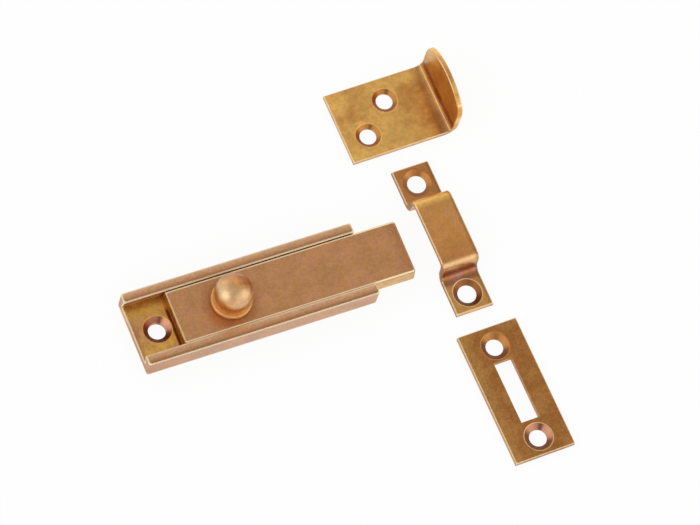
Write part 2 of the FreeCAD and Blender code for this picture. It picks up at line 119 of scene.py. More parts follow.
class BoltColours(bpy.types.PropertyGroup):
    """Colours of the brass, where it is clean, tarnished and worn."""
    bar_brass: colour_setting("Bar brass", "Handled satin brass of the bolt", 207, 150, 101)
    rail_brass: colour_setting("Rail brass", "Paler satin brass of the channel", 222, 172, 126)
    bar_pink: colour_setting("Bar pink", "Rosy clouds in the bar brass", 204, 147, 106)
    bar_olive: colour_setting("Bar olive", "Greenish clouds in the bar brass", 196, 143, 91)
    # Also painted shade: the near sides of the rail tops, the faces under the rails, the knob's shadow on the
    # bolt, and the ball's dark seam and far side.
    bar_shade: colour_setting("Bar shade", "Brown handling marks on rails, bolt and knob", 156, 98, 60)
    # Painted light: the paler far sides of the rail tops.
    rail_lit_pale: colour_setting("Rail pale", "Rubbed far sides of the rails", 222, 180, 146)
    # Painted reflection: upright faces paler than the tops, as where they mirror the pale floor.
    side_reflection_tan: colour_setting("Side tan", "Upright faces of the channel and angle keep", 196, 153, 122)
    # Painted reflection: the bolt's upright sides paler than its top, as where they mirror the pale floor.
    flank_reflection_gold: colour_setting("Flank gold", "Yellower brass of the bolt's long sides", 218, 184, 130)
    floor_gold: colour_setting("Floor gold", "Sheltered brass of the channel's floor", 226, 172, 84)
    floor_brown: colour_setting("Floor brown", "Tarnish along the floor's tail end", 172, 116, 80)
    # Tarnish and painted shade in corners, and painted shadows in the gaps by the bolt and along its end.
    crevice_red_and_shadow: colour_setting("Crevice red", "Tarnish where two faces meet", 112, 52, 20)
    # Used for painted highlights in the sinks.
    sink_highlight_rose: colour_setting("Sink rose", "Bright turned brass in the rosy sinks", 222, 158, 126)
    sink_brown: colour_setting("Sink brown", "Tarnish in the channel's sinks", 132, 74, 52)
    # Bright edges: partly wear and partly painted highlights.
    worn_edge_and_highlight: colour_setting("Worn edge", "Bright metal along handled edges", 255, 234, 190)
    knob_cream: colour_setting("Knob cream", "Fingered brass of the ball", 216, 174, 126)
    knob_brown: colour_setting("Knob brown", "Brown stain on the ball", 158, 98, 44)
    # Also painted reflection and shade under the ball and on the collar.
    knob_orange: colour_setting("Knob orange", "Warm brass on top of the ball and under it", 222, 160, 92)
    spring_bronze: colour_setting("Spring bronze", "Rolled strip of the friction spring", 196, 140, 88)
    angle_gold: colour_setting("Angle keep gold", "Brass of the angle keep", 240, 188, 104)
    angle_stain: colour_setting("Angle keep stain", "Orange brown clouds on the keeps", 208, 144, 78)
    angle_olive: colour_setting("Angle keep olive", "Greenish patches on two keeps", 214, 166, 92)
    # Painted shade on the lip's inner face.
    lip_shade_brown: colour_setting("Lip brown", "Deep brown of the angle keep's lip", 208, 152, 76)
    fold_mauve: colour_setting("Fold mauve", "Oxide in the angle keep's fold", 150, 96, 74)
    staple_gold: colour_setting("Staple keep gold", "Brass of the staple keep", 216, 154, 88)
    # Cream of rubbed rims, also used for painted highlights on the bends.
    cream_rub_and_highlight: colour_setting("Staple keep cream", "Rubbed bends and rims of the keeps", 240, 206, 158)
    staple_mauve: colour_setting("Staple keep mauve", "Oxide in the staple keep's near fold", 176, 122, 112)
    strike_brown: colour_setting("Strike keep brown", "Dark brass of the strike keep", 178, 118, 62)
    strike_gold: colour_setting("Strike keep gold", "Lighter brass at the strike keep's left", 196, 146, 82)
    keep_sink: colour_setting("Keep sink", "Turned brass in the keeps' sinks", 160, 106, 62)
    # Also painted shade in a band along the near rail's outer edge.
    keep_shade: colour_setting("Keep shade", "Tarnish in the keeps' sinks and along outer edges", 132, 84, 54)


class BoltSizes(bpy.types.PropertyGroup):
    """Sizes of the knob and of the marks on the brass."""
    ball_width: length_setting("Ball width", "Width of the knob's ball", 12.1)
    collar_thickness: length_setting("Collar thickness", "Height of the collar under the ball", 1.5)
    collar_round: length_setting("Collar round", "Rounding of the collar's upper edge", 0.6)
    neck_width: length_setting("Neck width", "Width of the neck between collar and ball", 9.0)
    neck_round: length_setting("Neck round", "Fillet at the foot of the neck", 0.12)
    shank_width: length_setting("Shank width", "Width of the shank through the bolt", 4.0)
    rivet_width: length_setting("Rivet width", "Width of the shank's spread end", 6.4)
    knob_steps: IntProperty(name="Knob steps", description="Facets round the knob", min=24, max=256,
                            default=112)
    cloud_size: length_setting("Cloud size", "Width of the cloudy patches in the tarnish", 7.0)
    grain_size: length_setting("Grain size", "Width of the fine grain in the tarnish", 0.5)
    wear_reach: length_setting("Wear reach", "How far in from an edge the brass is rubbed bright", 0.8)
    crevice_reach: length_setting("Crevice reach", "How far out of a corner the tarnish comes", 1.6)
    bar_roughness: share_setting("Bar roughness", "Roughness of the channel and the bolt", 0.4)
    knob_roughness: share_setting("Knob roughness", "Roughness of the knob", 0.36)
    keep_roughness: share_setting("Keep roughness", "Roughness of the three keeps", 0.36)


class StudioSettings(bpy.types.PropertyGroup):
    """Floor, light and camera."""
    floor_colour: colour_setting("Floor colour", "Pale floor under the object", 255, 255, 255)
    floor_width: number_setting("Floor width", "Width of the round floor", 6.0, unit="LENGTH")
    shadow_share: share_setting("Shadow share", "How much of the floor's own light and shade shows", 0.08)
    horizon_light: number_setting("Horizon light", "Brightness at the horizon", 1.35, min=0.0)
    zenith_light: number_setting("Zenith light", "Brightness overhead", 0.8, min=0.0)
    side_lamp_power: number_setting("Side lamp power", "Power of the soft lamp at the tail side", 1.0,
                                    subtype="POWER", min=0.0)
    front_lamp_power: number_setting("Front lamp power", "Power of the soft lamp in front", 0.8,
                                     subtype="POWER", min=0.0)
    lamp_width: number_setting("Lamp width", "Width of each square lamp", 0.75, unit="LENGTH", min=0.01)
    camera_place: place_setting("Camera place", "Where the camera stands",
                                -402.37 * MM, -501.40 * MM, 1388.11 * MM)
    camera_target: place_setting("Camera target", "The point that the camera looks at",
                                 35.274 * MM, 2.636 * MM, 0.0)
    camera_roll: number_setting("Camera roll", "Turn of the camera about its line of sight",
                                math.radians(20.66), subtype="ANGLE")
    camera_lens: number_setting("Camera lens", "Focal length on a 36 mm wide sensor", 257.14,
                                subtype="DISTANCE_CAMERA")


class Finish:
    """One finish: a material and the nodes that shade it. Places are in the part's own frame."""

    def __init__(self, name):
        self.material = bpy.data.materials.new(name)
        self.material.use_nodes = True
        self.tree = self.material.node_tree
        self.tree.nodes.clear()
        self.place = self.add("ShaderNodeTexCoord").outputs["Object"]
        split = self.add("ShaderNodeSeparateXYZ")
        self.feed(split.inputs[0], self.place)
        self.x, self.y, self.z = split.outputs
        geometry = self.add("ShaderNodeNewGeometry")
        self.normal = geometry.outputs["Normal"]
        leaning = self.add("ShaderNodeSeparateXYZ")
        self.feed(leaning.inputs[0], self.normal)
        self.rise = leaning.outputs["Z"]

    def add(self, kind, **settings):
        node = self.tree.nodes.new(kind)
        for name, setting in settings.items():
            setattr(node, name, setting)
        return node

    def feed(self, socket, source):
        """Join a socket to another node's output, or write a plain value into it."""
        if isinstance(source, bpy.types.NodeSocket):
            self.tree.links.new(source, socket)
        elif socket.type == "RGBA" and len(source) == 3:
            socket.default_value = (*source, 1.0)
        else:
            socket.default_value = source

    def maths(self, operation, *terms):
        node = self.add("ShaderNodeMath", operation=operation)
        for socket, term in zip(node.inputs, terms):
            self.feed(socket, term)
        return node.outputs[0]

    def minus(self, first, second):
        return self.maths("SUBTRACT", first, second)

    def times(self, *terms):
        product = terms[0]
        for term in terms[1:]:
            product = self.maths("MULTIPLY", product, term)
        return product

    def vector(self, operation, first, second, output="Value"):
        """Work on two vectors. The result is the node's Value, or its Vector."""
        node = self.add("ShaderNodeVectorMath", operation=operation)
        self.feed(node.inputs[0], first)
        self.feed(node.inputs[1], second)
        return node.outputs[output]

    def ease(self, value, low, high, start=0.0, end=1.0):
        """Start below low, end above high, and a smooth change between."""
        node = self.add("ShaderNodeMapRange", interpolation_type="SMOOTHSTEP")
        for socket, source in zip(node.inputs, (value, low, high, start, end)):
            self.feed(socket, source)
        return node.outputs["Result"]

    def fade(self, value, low, high):
        """1 below low, 0 above high, and a smooth change between."""
        return self.ease(value, low, high, 1.0, 0.0)

    def noise(self, size, detail, seed, stretch=(1, 1, 1)):
        """Soft noise, mostly between 0.3 and 0.7, with blobs of this size."""
        mapping = self.add("ShaderNodeMapping")
        self.feed(mapping.inputs["Vector"], self.place)
        mapping.inputs["Scale"].default_value = [1 / (size * part) for part in stretch]
        mapping.inputs["Location"].default_value = (17.3 * seed, -9.1 * seed, 5.7 * seed)
        texture = self.add("ShaderNodeTexNoise")
        self.feed(texture.inputs["Vector"], mapping.outputs[0])
        texture.inputs["Scale"].default_value = 1.0
        texture.inputs["Detail"].default_value = detail
        return texture.outputs["Fac"]

    def blend(self, share, first, second, way="MIX"):
        node = self.add("ShaderNodeMix", data_type="RGBA", blend_type=way)
        sockets = {socket.identifier: socket for socket in node.inputs}
        self.feed(sockets["Factor_Float"], share)
        self.feed(sockets["A_Color"], first)
        self.feed(sockets["B_Color"], second)
        return next(socket for socket in node.outputs if socket.identifier == "Result_Color")

    def vary(self, colour, pattern, amount):
        """Lighten and darken a colour by a noise pattern."""
        return self.blend(1.0, colour, self.ease(pattern, 0.3, 0.7, 1 - amount, 1 + amount), "MULTIPLY")

    def nearness(self, centre, reach, soft):
        """1 within reach of a point and 0 beyond a soft border."""
        return self.fade(self.vector("DISTANCE", self.place, centre), reach, reach + soft)

    def between(self, value, low, high, soft):
        """1 from low to high, with soft borders outside them."""
        return self.times(self.ease(value, low - soft, low), self.fade(value, high, high + soft))

    def patch(self, colour, tint, *shares):
        """Paint a tint where all the shares meet."""
        return self.blend(self.times(*shares), colour, tint)

    def facing(self, direction, low, high):
        """1 where the surface looks along a direction, 0 where it doesn't."""
        return self.ease(self.vector("DOT_PRODUCT", self.normal, Vector(direction).normalized()), low, high)

    def upright(self, level):
        """1 on upright faces, and 0 where the normal rises or falls by this level or more."""
        return self.fade(self.maths("ABSOLUTE", self.rise), 0.3, level)

    def lie(self, corner, turn):
        """Distances along and across a keep that lies turned, from its near left corner."""
        along = (math.cos(turn), math.sin(turn), 0)
        across = (-math.sin(turn), math.cos(turn), 0)
        from_corner = self.vector("SUBTRACT", self.place, (*corner, 0), "Vector")
        return [self.vector("DOT_PRODUCT", from_corner, direction) for direction in (along, across)]

    def axis_distance(self, centre):
        """Distance from an upright axis through a point."""
        away_x = self.minus(self.x, centre.x)
        away_y = self.minus(self.y, centre.y)
        return self.maths("SQRT", self.maths("ADD", self.times(away_x, away_x), self.times(away_y, away_y)))

    def soft_normal(self, reach):
        """The surface's normal, with edges rounded this far."""
        node = self.add("ShaderNodeBevel", samples=6)
        node.inputs["Radius"].default_value = reach
        return node.outputs["Normal"]

    def openness(self, reach, **settings):
        """1 out in the open and towards 0 in corners and folds."""
        node = self.add("ShaderNodeAmbientOcclusion", samples=10, **settings)
        node.inputs["Distance"].default_value = reach
        return node.outputs["AO"]

    def worn(self, reach):
        """1 along outer edges and their bevels, which hands and cloths have rubbed and where highlights are
        painted.
        """
        depth = self.openness(reach, inside=True, only_local=True)
        sharp = self.fade(depth, 0.64, 0.82)
        by_edge = self.fade(depth, 0.86, 0.95)
        bevelled = self.between(self.rise, 0.66, 0.745, 0.015)
        return self.maths("MAXIMUM", sharp, self.times(bevelled, by_edge))

    def surface(self, colour, roughness, rounded, height, scatter, coat):
        """Metal of this colour, with the bumps of a height in metres over rounded edges.

        Where scatter is 1, fine scratches send light all ways, as a plain paint would.
        """
        bump = self.add("ShaderNodeBump")
        bump.inputs["Distance"].default_value = 1.0
        self.feed(bump.inputs["Height"], height)
        self.feed(bump.inputs["Normal"], rounded)
        metal = self.add("ShaderNodeBsdfPrincipled")
        self.feed(metal.inputs["Metallic"], self.minus(1.0, scatter) if scatter else 1.0)
        metal.inputs["Coat Weight"].default_value = coat
        metal.inputs["Coat Roughness"].default_value = 0.25
        self.feed(metal.inputs["Base Color"], colour)
        self.feed(metal.inputs["Roughness"], roughness)
        self.feed(metal.inputs["Normal"], bump.outputs["Normal"])
        output = self.add("ShaderNodeOutputMaterial")
        self.feed(output.inputs["Surface"], metal.outputs[0])
        return self.material


class Tarnish:
    """The layers that all the brass pieces share: clouds, grain, worn edges with painted highlights, corners
    of tarnish and painted shade, and fine bumps.
    """

    def __init__(self, finish, colours, sizes, seed=0, handled=1.0):
        self.finish = finish
        self.colours = colours
        self.clouds = finish.noise(sizes.cloud_size, 3.0, seed=seed)
        self.blots = finish.noise(sizes.cloud_size / 3, 2.5, seed=seed + 1)
        self.grain = finish.noise(sizes.grain_size, 1.5, seed=seed + 2)
        self.specks = finish.noise(2.2 * sizes.grain_size, 1.0, seed=seed + 3)
        self.rounded = finish.soft_normal(sizes.wear_reach / 3)
        self.edges = finish.worn(sizes.wear_reach * handled)
        self.open = finish.openness(sizes.crevice_reach)
        self.scatter = 0.0

    def mottle(self, colour, first, second, strength):
        """Cloudy brass: patches of two other tints over the first colour."""
        colour = self.finish.patch(colour, first, self.finish.ease(self.clouds, 0.42, 0.62), strength)
        return self.finish.patch(colour, second, self.finish.ease(self.blots, 0.45, 0.66), strength)

    def cloud(self, colour, clouds=0.08, blots=0.06, grain=0.07, specks=0.05):
        """Vary a colour by all four patterns, each by its own amount."""
        for pattern, amount in ((self.clouds, clouds), (self.blots, blots), (self.grain, grain),
                                (self.specks, specks)):
            colour = self.finish.vary(colour, pattern, amount)
        return colour

    def tarnish_and_shade_corners(self, colour, depth):
        """Tarnish and painted shade where two faces meet, darkest where the surface is most enclosed."""
        corners = self.finish.ease(self.open, 0.15, 0.62, depth, 0.0)
        return self.finish.patch(colour, self.colours.crevice_red_and_shadow, corners)

    def rub_and_highlight_edges(self, colour, strength, above=0.0):
        """Paint the edges that stand higher than this bright, as wear and as a painted highlight, and let
        them scatter light.
        """
        high = self.finish.ease(self.finish.z, above, above + 0.2 * MM)
        self.edges = self.finish.times(self.edges, high)
        self.scatter = self.finish.times(self.edges, strength)
        return self.finish.patch(colour, self.colours.worn_edge_and_highlight, self.scatter)

    def roughness(self, level):
        """A roughness that varies with the blots and is lower along the worn edges."""
        change = 0.05
        uneven = self.finish.ease(self.blots, 0.3, 0.7, level - change, level + change)
        return self.finish.minus(uneven, self.finish.times(self.edges, level / 4))

    def bumps(self, depth=1.5e-6):
        """Heights of the fine grain, in metres."""
        return self.finish.times(self.grain, depth)

    def metal(self, colour, level, height, scatter=0.0, coat=0.0):
        """The finished metal, with a roughness about this level."""
        return self.finish.surface(colour, self.roughness(level), self.rounded, height, scatter, coat)

    def dress(self, node_name, *metal):
        """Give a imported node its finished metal."""
        slots = frame["nodes"][node_name].data.materials
        slots.clear()
        slots.append(self.metal(*metal))


def fresh_finish(context, name, **settings):
    """The settings of the panel, and a new finish with its tarnish."""
    colours, sizes = context.scene.bolt_colours, context.scene.bolt_sizes
    finish = Finish(name)
    return colours, sizes, finish, Tarnish(finish, colours, sizes, **settings)


def turned_sink(finish, colour, height, hole, bright, dark, rim, streaked=0.45):
    """Paint one sink, but not the flat back under it: painted highlights on two sides, a painted dark
    reflection as a streak, and a worn rim.
    """
    centre = MOUNTS[hole]
    edge = SINK_WIDTHS[hole.split("_")[0]] / 2
    ring_gap = 0.22 * MM
    ring_height = 0.005 * MM
    distance = finish.axis_distance(centre)
    off_back = finish.ease(finish.z, 0.1 * MM, 0.3 * MM)
    inside = finish.times(finish.fade(distance, edge - 0.35 * MM, edge - 0.1 * MM), off_back)
    rim_line = finish.between(distance, edge - 0.12 * MM, edge + 0.06 * MM, 0.12 * MM)
    sweep = finish.maths("ARCTAN2", finish.minus(finish.y, centre.y),
                         finish.minus(finish.x, centre.x))

    def sector(start, end, soft):
        """1 between two directions from the centre, in degrees from +X."""
        return finish.between(sweep, math.radians(start), math.radians(end), math.radians(soft))

    colour = finish.patch(colour, dark, inside)
    # Painted highlights on two sides of the turned cone.
    colour = finish.patch(colour, bright, inside, sector(-6, 36, 34), 0.85)
    colour = finish.patch(colour, bright, inside, sector(82, 112, 40), 0.55)
    # Painted dark reflection: a streak at the same turn in every sink.
    colour = finish.patch(colour, tuple(0.25 * part for part in dark), inside, sector(55, 60, 14), streaked)
    colour = finish.patch(colour, rim, rim_line, off_back, 0.6)
    rings = finish.maths("SINE", finish.times(distance, 2 * math.pi / ring_gap))
    return colour, finish.maths("ADD", height, finish.times(rings, inside, ring_height))


class SLIDEBOLT_OT_finish_channel(bpy.types.Operator):
    """Give the channel satin brass, a golden floor and crowned rails"""
    bl_idname = "slidebolt.finish_channel"
    bl_label = "Finish Channel"

    def execute(self, context):
        colours, sizes, finish, tarnish = fresh_finish(context, "channel_brass", handled=1.1)
        to_rail = finish.times(finish.maths("SIGN", finish.y), RAIL_MIDDLE)
        across_rail = finish.maths("DIVIDE", finish.minus(finish.y, to_rail), HALF_RAIL)
        on_rail = finish.ease(finish.z, RAIL_TOP - 0.4 * MM, RAIL_TOP - 0.1 * MM)
        shaded_under_rails = finish.between(finish.rise, -0.35, -0.1, 0.05)
        near_lip = finish.times(finish.between(finish.y, -9.6 * MM, -8.8 * MM, 0.2 * MM),
                                finish.ease(finish.z, 5 * MM, 6 * MM))
        colour = tarnish.mottle(colours.rail_brass, colours.bar_pink, colours.bar_olive, strength=0.6)
        colour = self.rail_shading(finish, colours, colour, across_rail, on_rail)
        colour = self.side_tone(finish, colours, colour)
        # Painted shade on the faces under the rails.
        colour = finish.patch(colour, colours.bar_shade, shaded_under_rails, 0.9)
        colour = finish.blend(self.on_floor(finish), colour, self.floor_tone(finish, colours))
        colour = tarnish.cloud(colour)
        colour = tarnish.tarnish_and_shade_corners(colour, depth=0.5)
        colour = tarnish.rub_and_highlight_edges(colour, finish.minus(0.9, finish.times(near_lip, 0.55)))
        tarnish.scatter = finish.maths("MAXIMUM", tarnish.scatter, finish.times(shaded_under_rails, 0.8))
        crown = finish.times(across_rail, across_rail, on_rail, -RAIL_CROWN)
        height = finish.maths("ADD", tarnish.bumps(), crown)
        for hole in ("tail_screw_hole", "head_screw_hole"):
            colour, height = turned_sink(finish, colour, height, hole, colours.sink_highlight_rose,
                                         colours.sink_brown, colours.floor_gold)
        tarnish.dress("channel", colour, sizes.bar_roughness, height, tarnish.scatter)
        return {"FINISHED"}

    def rail_shading(self, finish, colours, colour, across_rail, on_rail):
        """Painted shade on the near sides of the rail tops and painted light on their far sides, with the
        darkest painted shade along the near rail's outer edge.
        """
        near_rail = finish.fade(finish.y, -1 * MM, 1 * MM)
        shaded_near_side = finish.ease(across_rail, -1.0, 0.2, 0.9, 0.0)
        far_side = finish.ease(across_rail, -0.1, 1.0, 0.0, 0.8)
        shaded_outer_edge = finish.ease(across_rail, -1.0, -0.5, 0.6, 0.0)
        # Painted shade on the near sides and painted light on the far sides of the rail tops.
        colour = finish.patch(colour, colours.bar_shade, on_rail, shaded_near_side)
        colour = finish.patch(colour, colours.rail_lit_pale, on_rail, far_side)
        return finish.patch(colour, colours.keep_shade, on_rail, near_rail, shaded_outer_edge)

    def side_tone(self, finish, colours, colour):
        """Upright faces painted a paler tan as a reflection of the pale floor, rosier and browner towards the
        tail.
        """
        upright = finish.upright(0.8)
        at_tail = finish.ease(finish.x, CHANNEL_LOW.x, CHANNEL_LOW.x + 14 * MM, 0.35, 0.0)
        colour = finish.patch(colour, colours.side_reflection_tan, upright, 0.85)
        colour = finish.patch(colour, colours.bar_pink, upright, at_tail)
        return finish.patch(colour, colours.bar_shade, upright, at_tail, 0.7)

    def on_floor(self, finish):
        """1 on the floor between the rails."""
        low_down = finish.fade(finish.z, FLOOR_TOP + 0.1 * MM, FLOOR_TOP + 0.5 * MM)
        off_middle = finish.maths("ABSOLUTE", finish.y)
        inward = finish.fade(off_middle, FLOOR_HALF_WIDTH, FLOOR_HALF_WIDTH + 0.3 * MM)
        off_back = finish.ease(finish.z, 0.6 * MM, 1.2 * MM)
        return finish.times(low_down, inward, off_back)

    def floor_tone(self, finish, colours):
        """Gold, rosy near the tail and brown along the tail end, with a painted shadow along the bolt's end
        and painted light beside the far rail.
        """
        tail = CHANNEL_LOW.x
        streaks = finish.noise(3 * MM, 2.5, stretch=(1.0, 2.0, 1.0), seed=5)
        rosy = finish.nearness((tail + 4 * MM, 1 * MM, FLOOR_TOP), 1.5 * MM, 6 * MM)
        tail_end = finish.ease(finish.x, tail, tail + 2.5 * MM, 0.6, 0.0)
        off_far_rail = finish.ease(finish.y, 2 * MM, 7 * MM, 1.0, 0.1)
        bolt_end_shadow = finish.between(finish.x, BOLT_LOW.x - 0.9 * MM, BOLT_LOW.x - 0.3 * MM, 0.4 * MM)
        lit_by_far_rail = finish.between(finish.y, 6 * MM, 9.8 * MM, 2 * MM)
        tone = finish.patch(colours.floor_gold, colours.bar_olive, finish.ease(streaks, 0.38, 0.66), 0.7)
        tone = finish.patch(tone, colours.bar_pink, rosy, 0.6)
        tone = finish.patch(tone, colours.floor_brown, tail_end, off_far_rail)
        # Painted shadow of the bolt's end on the floor.
        tone = finish.patch(tone, colours.crevice_red_and_shadow, bolt_end_shadow)
        # Painted light on the floor beside the far rail, where shade falls.
        return finish.patch(tone, colours.floor_gold, lit_by_far_rail, 0.7)


class SLIDEBOLT_OT_finish_bolt(bpy.types.Operator):
    """Give the bolt satin brass, with a painted shadow round the knob"""
    bl_idname = "slidebolt.finish_bolt"
    bl_label = "Finish Bolt"

    def execute(self, context):
        colours, sizes, finish, tarnish = fresh_finish(context, "bolt_brass", seed=3, handled=1.1)
        knob_contact_shadow = finish.fade(finish.axis_distance((KNOB_LOW + KNOB_HIGH) / 2), 6 * MM, 10.5 * MM)
        by_head = finish.ease(finish.x, BOLT_HIGH.x - 5 * MM, BOLT_HIGH.x - 1 * MM)
        off_tail = finish.ease(finish.x, BOLT_LOW.x + 0.5 * MM, BOLT_LOW.x + 2 * MM)
        tail_face = finish.facing((-1, 0, 0), 0.6, 0.9)
        on_side = finish.ease(finish.maths("ABSOLUTE", finish.y), 8.1 * MM, 8.3 * MM)
        colour = tarnish.mottle(colours.bar_brass, colours.bar_pink, colours.bar_olive, strength=0.9)
        # Painted shadow of the knob on the bolt's top.
        colour = finish.patch(colour, colours.bar_shade, knob_contact_shadow, 0.55)
        colour = finish.patch(colour, colours.bar_shade, by_head, 0.3)
        # Painted reflection of the pale floor on the bolt's upright sides.
        colour = finish.patch(colour, colours.flank_reflection_gold, finish.times(finish.upright(0.8), off_tail), 0.85)
        colour = finish.patch(colour, colours.floor_gold, tail_face, 0.8)
        colour = tarnish.cloud(colour)
        colour = tarnish.tarnish_and_shade_corners(colour, depth=0.6)
        colour = tarnish.rub_and_highlight_edges(colour, finish.minus(0.85, finish.times(on_side, 0.6)), above=4.5 * MM)
        colour, bright = self.long_edges(finish, colours, colour, on_side)
        scatter = finish.maths("MAXIMUM", tarnish.scatter, bright)
        tarnish.dress("bolt_bar", colour, sizes.bar_roughness, tarnish.bumps(), scatter)
        return {"FINISHED"}

    def long_edges(self, finish, colours, colour, on_side):
        """Painted shade low on the rounded long edges, in the gaps by the rails, and a bright band above it,
        part wear and part painted highlight, both lower on the far side.
        """
        far_side = finish.ease(finish.y, -1 * MM, 1 * MM)
        in_channel = finish.ease(finish.x, CHANNEL_HIGH.x - 0.5 * MM, CHANNEL_HIGH.x, 1.0, 0.2)
        lowest = finish.minus(0.72, finish.times(far_side, 0.26))
        gap_shade = finish.times(finish.ease(finish.rise, 0.28, 0.40),
                             finish.ease(finish.rise, finish.minus(lowest, 0.16), lowest, 0.85, 0.0))
        band = finish.times(finish.ease(finish.rise, lowest, finish.maths("ADD", lowest, 0.04)),
                            finish.fade(finish.rise, 0.99, 0.999))
        bright = finish.times(on_side, band)
        # Painted shade where the edges sink into the gaps by the rails.
        colour = finish.patch(colour, colours.crevice_red_and_shadow, on_side, in_channel, gap_shade)
        # Painted highlight along the long edges, with their wear.
        return finish.patch(colour, colours.worn_edge_and_highlight, bright, 0.95), bright


class SLIDEBOLT_OT_finish_pin_and_spring(bpy.types.Operator):
    """Give the hidden stop pin and friction spring their drawn and rolled metal"""
    bl_idname = "slidebolt.finish_pin_and_spring"
    bl_label = "Finish Pin and Spring"

    def execute(self, context):
        colours = context.scene.bolt_colours
        for seed, (node_name, tint) in enumerate((("stop_pin", colours.bar_brass),
                                                  ("friction_spring", colours.spring_bronze)), start=7):
            _, _, finish, tarnish = fresh_finish(context, f"{node_name}_metal", seed=seed)
            drawn = finish.noise(0.15 * MM, 1.0, stretch=(40, 1, 1), seed=seed)
            tone = finish.vary(tarnish.cloud(tint), drawn, 0.06)
            tone = tarnish.rub_and_highlight_edges(tone, strength=0.5)
            height = finish.maths("ADD", tarnish.bumps(), finish.times(drawn, 0.001 * MM))
            tarnish.dress(node_name, tone, 0.35, height)
        return {"FINISHED"}


def arc(centre, radius, start, end, steps):
    """Points of an arc in the plane of radius and height; angles in degrees from straight out."""
    for step in range(steps + 1):
        angle = math.radians(start + (end - start) * step / steps)
        yield centre[0] + radius * math.cos(angle), centre[1] + radius * math.sin(angle)


def knob_profile(sizes):
    """The knob's half section, from the rivet under the bolt to the top of the ball."""
    foot = KNOB_LOW.z
    collar_radius = (KNOB_HIGH.x - KNOB_LOW.x) / 2
    collar_top = BOLT_TOP + sizes.collar_thickness
    ball_radius = sizes.ball_width / 2
    ball_height = KNOB_HIGH.z - ball_radius
    neck_radius = sizes.neck_width / 2
    shank_radius = sizes.shank_width / 2
    spread = sizes.rivet_width / 2 - shank_radius
    under_edge = 0.12 * MM
    neck_angle = -math.degrees(math.acos(neck_radius / ball_radius))
    small_steps = 8
    ball_steps = 44
    return [
        (0.0, foot),
        (shank_radius + spread, foot),
        (shank_radius, foot + spread),
        (shank_radius, BOLT_TOP),
        (collar_radius - under_edge, BOLT_TOP),
        (collar_radius, BOLT_TOP + under_edge),
        *arc((collar_radius - sizes.collar_round, collar_top - sizes.collar_round), sizes.collar_round,
             0, 90, small_steps),
        *arc((neck_radius + sizes.neck_round, collar_top + sizes.neck_round), sizes.neck_round,
             270, 180, small_steps),
        *arc((0.0, ball_height), ball_radius, neck_angle, 89, ball_steps),
        (0.0, KNOB_HIGH.z),
    ]


def place_object(name, data):
    """A new object in the scene."""
    item = bpy.data.objects.new(name, data)
    bpy.context.scene.collection.objects.link(item)
    return item


def turn(name, profile, centre_x, steps):
    """A closed turned piece from a half section, about an upright axis."""
    mesh = bmesh.new()
    rings = []
    for radius, height in profile:
        count = steps if radius > 0 else 1
        rings.append([mesh.verts.new((centre_x + radius * math.cos(2 * math.pi * step / count),
                                      radius * math.sin(2 * math.pi * step / count), height))
                      for step in range(count)])
    for lower, upper in zip(rings, rings[1:]):
        for step in range(steps):
            after = (step + 1) % steps
            corners = [lower[step % len(lower)], lower[after % len(lower)],
                       upper[after % len(upper)], upper[step % len(upper)]]
            mesh.faces.new(list(dict.fromkeys(corners)))
    bmesh.ops.recalc_face_normals(mesh, faces=mesh.faces)
    for face in mesh.faces:
        face.smooth = True
    data = bpy.data.meshes.new(name)
    mesh.to_mesh(data)
    mesh.free()
    return place_object(name, data)


